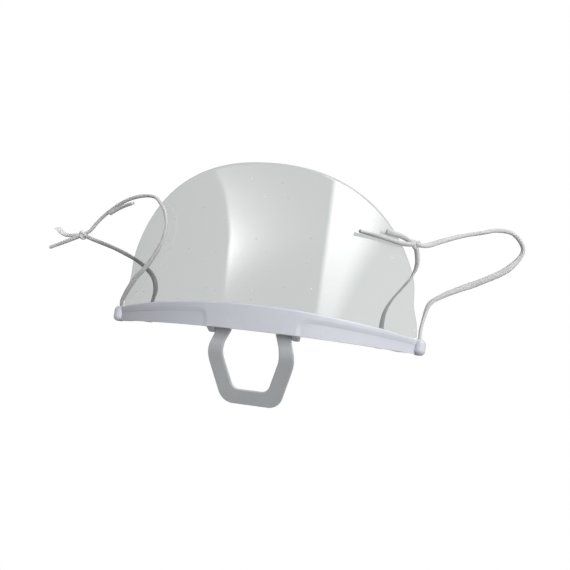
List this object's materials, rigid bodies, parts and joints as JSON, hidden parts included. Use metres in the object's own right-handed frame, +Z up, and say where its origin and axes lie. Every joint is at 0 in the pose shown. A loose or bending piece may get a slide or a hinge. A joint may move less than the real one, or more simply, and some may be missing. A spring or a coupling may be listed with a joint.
{
  "type": "mouth and chin face shield",
  "caption": "Clear curved film that covers mouth and nose, held by a white chin band with a folding chin rest and elastic ear loops.",
  "frame": {"origin": "middle of the chin seat, the wearer's side of the chin rest's bottom bar", "axes": "+Z up, the shield faces -Y, the wearer is on the +Y side, +X is the wearer's left"},
  "size_m": [0.2749, 0.0547, 0.1224],
  "materials": {
    "frame_plastic": "glossy white injection-moulded plastic with a faint blue cast",
    "clear_film": "clear, glossy die-cut plastic sheet",
    "rest_plastic": "satin translucent white plastic",
    "elastic_cord": "soft white braided elastic"
  },
  "bodies": {
    "frame": {"chin_frame": "frame_plastic", "visor_film": "clear_film", "left_cord_anchor": "elastic_cord", "right_cord_anchor": "elastic_cord"},
    "chin_rest": {"chin_rest": "rest_plastic"},
    "left_ear_loop": {"left_ear_cord": "elastic_cord"},
    "right_ear_loop": {"right_ear_cord": "elastic_cord"}
  },
  "joints": [
    {"name": "chin_rest_fold", "type": "hinge", "parent": "frame", "child": "chin_rest", "pos_m": [0, -0.01303, 0.0332], "axis": [1, 0, 0], "range_deg": [-8, 145]},
    {"name": "left_ear_loop_swing", "type": "hinge", "parent": "frame", "child": "left_ear_loop", "pos_m": [0.0806, 0.00687, 0.0631], "axis": [-0.295, -0.2717, 0.9161], "range_deg": [-5, 70]},
    {"name": "right_ear_loop_swing", "type": "hinge", "parent": "frame", "child": "right_ear_loop", "pos_m": [-0.0709, -0.00473, 0.08465], "axis": [-0.461, 0.4663, -0.755], "range_deg": [-5, 70]}
  ]
}
